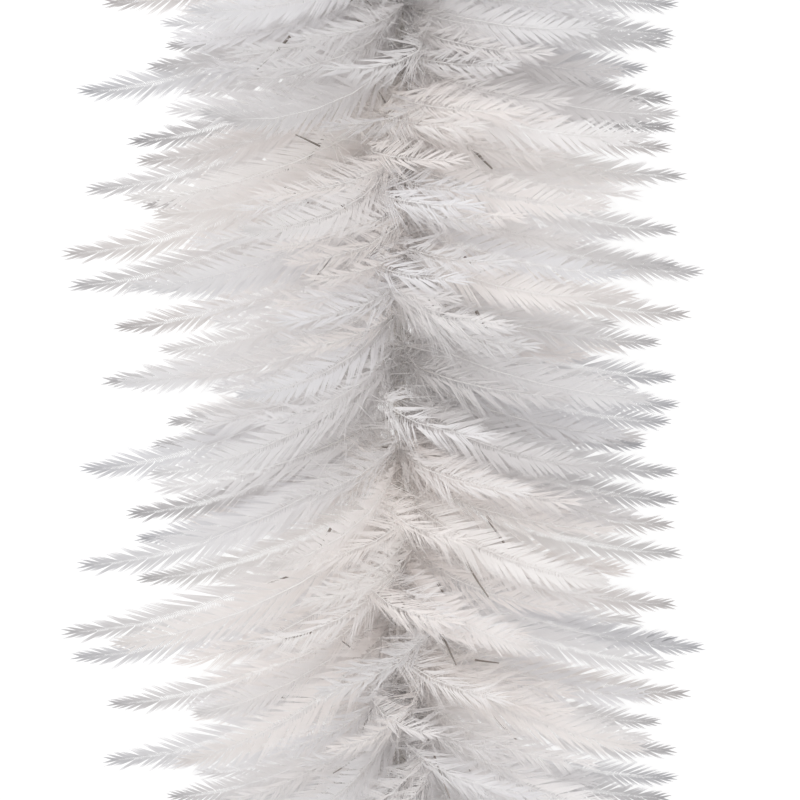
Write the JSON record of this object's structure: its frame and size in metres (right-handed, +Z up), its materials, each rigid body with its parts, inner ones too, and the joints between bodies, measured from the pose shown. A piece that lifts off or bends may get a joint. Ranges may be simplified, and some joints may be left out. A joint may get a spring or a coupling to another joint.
{
  "type": "feather boa",
  "caption": "Feather boa: long soft plumes sewn to a string wound on a core cord, laid in an S and bending at hinges between sections.",
  "frame": {"origin": "on the table, under the middle of the boa's box, which is the middle of its length", "axes": "+Z up from the table; +Y along the middle run of the boa, against the way its plumes lean; +X towards the upper fold's arm"},
  "size_m": [0.7469, 0.7259, 0.12],
  "materials": {
    "plumes": "soft matt natural plumes, white to light grey",
    "core_cord": "matt twisted cotton",
    "quill_string": "matt thread",
    "end_knot": "matt twisted cotton, knotted"
  },
  "bodies": {
    "section_01": {"core_cord_01": "core_cord", "quill_string_01": "quill_string", "plume_whorl_01_a": "plumes", "plume_whorl_01_b": "plumes", "plume_whorl_01_c": "plumes", "end_knot_low": "end_knot"},
    "section_02": {"core_cord_02": "core_cord", "quill_string_02": "quill_string", "plume_whorl_02_a": "plumes", "plume_whorl_02_b": "plumes", "plume_whorl_02_c": "plumes"},
    "section_03": {"core_cord_03": "core_cord", "quill_string_03": "quill_string", "plume_whorl_03_a": "plumes", "plume_whorl_03_b": "plumes", "plume_whorl_03_c": "plumes"},
    "section_04": {"core_cord_04": "core_cord", "quill_string_04": "quill_string", "plume_whorl_04_a": "plumes", "plume_whorl_04_b": "plumes", "plume_whorl_04_c": "plumes"},
    "section_05": {"core_cord_05": "core_cord", "quill_string_05": "quill_string", "plume_whorl_05_a": "plumes", "plume_whorl_05_b": "plumes", "plume_whorl_05_c": "plumes"},
    "section_06": {"core_cord_06": "core_cord", "quill_string_06": "quill_string", "plume_whorl_06_a": "plumes", "plume_whorl_06_b": "plumes", "plume_whorl_06_c": "plumes"},
    "section_07": {"core_cord_07": "core_cord", "quill_string_07": "quill_string", "plume_whorl_07_a": "plumes", "plume_whorl_07_b": "plumes", "plume_whorl_07_c": "plumes"},
    "section_08": {"core_cord_08": "core_cord", "quill_string_08": "quill_string", "plume_whorl_08_a": "plumes", "plume_whorl_08_b": "plumes", "plume_whorl_08_c": "plumes"},
    "section_09": {"core_cord_09": "core_cord", "quill_string_09": "quill_string", "plume_whorl_09_a": "plumes", "plume_whorl_09_b": "plumes", "plume_whorl_09_c": "plumes"},
    "section_10": {"core_cord_10": "core_cord", "quill_string_10": "quill_string", "plume_whorl_10_a": "plumes", "plume_whorl_10_b": "plumes", "plume_whorl_10_c": "plumes"},
    "section_11": {"core_cord_11": "core_cord", "quill_string_11": "quill_string", "plume_whorl_11_a": "plumes", "plume_whorl_11_b": "plumes", "plume_whorl_11_c": "plumes", "end_knot_high": "end_knot"}
  },
  "joints": [
    {"name": "bend_01", "type": "hinge", "parent": "section_02", "child": "section_01", "pos_m": [-0.3, -0.03124, 0.045], "axis": [0, 0, 1], "range_deg": [-40, 40]},
    {"name": "bend_02", "type": "hinge", "parent": "section_03", "child": "section_02", "pos_m": [-0.29133, -0.19025, 0.045], "axis": [0, 0, -1], "range_deg": [-65, 20]},
    {"name": "bend_03", "type": "hinge", "parent": "section_04", "child": "section_03", "pos_m": [-0.17427, -0.28802, 0.045], "axis": [0, 0, 1], "range_deg": [-20, 65]},
    {"name": "bend_04", "type": "hinge", "parent": "section_05", "child": "section_04", "pos_m": [-0.03212, -0.23275, 0.045], "axis": [0, 0, -1], "range_deg": [-65, 20]},
    {"name": "bend_05", "type": "hinge", "parent": "section_06", "child": "section_05", "pos_m": [0, -0.08, 0.045], "axis": [0, 0, 1], "range_deg": [-35, 40]},
    {"name": "bend_06", "type": "hinge", "parent": "section_06", "child": "section_07", "pos_m": [0, 0.08, 0.045], "axis": [0, 0, 1], "range_deg": [-35, 40]},
    {"name": "bend_07", "type": "hinge", "parent": "section_07", "child": "section_08", "pos_m": [0.03212, 0.23275, 0.045], "axis": [0, 0, -1], "range_deg": [-65, 20]},
    {"name": "bend_08", "type": "hinge", "parent": "section_08", "child": "section_09", "pos_m": [0.17427, 0.28802, 0.045], "axis": [0, 0, 1], "range_deg": [-20, 65]},
    {"name": "bend_09", "type": "hinge", "parent": "section_09", "child": "section_10", "pos_m": [0.29133, 0.19025, 0.045], "axis": [0, 0, -1], "range_deg": [-65, 20]},
    {"name": "bend_10", "type": "hinge", "parent": "section_10", "child": "section_11", "pos_m": [0.3, 0.03124, 0.045], "axis": [0, 0, 1], "range_deg": [-40, 40]}
  ]
}
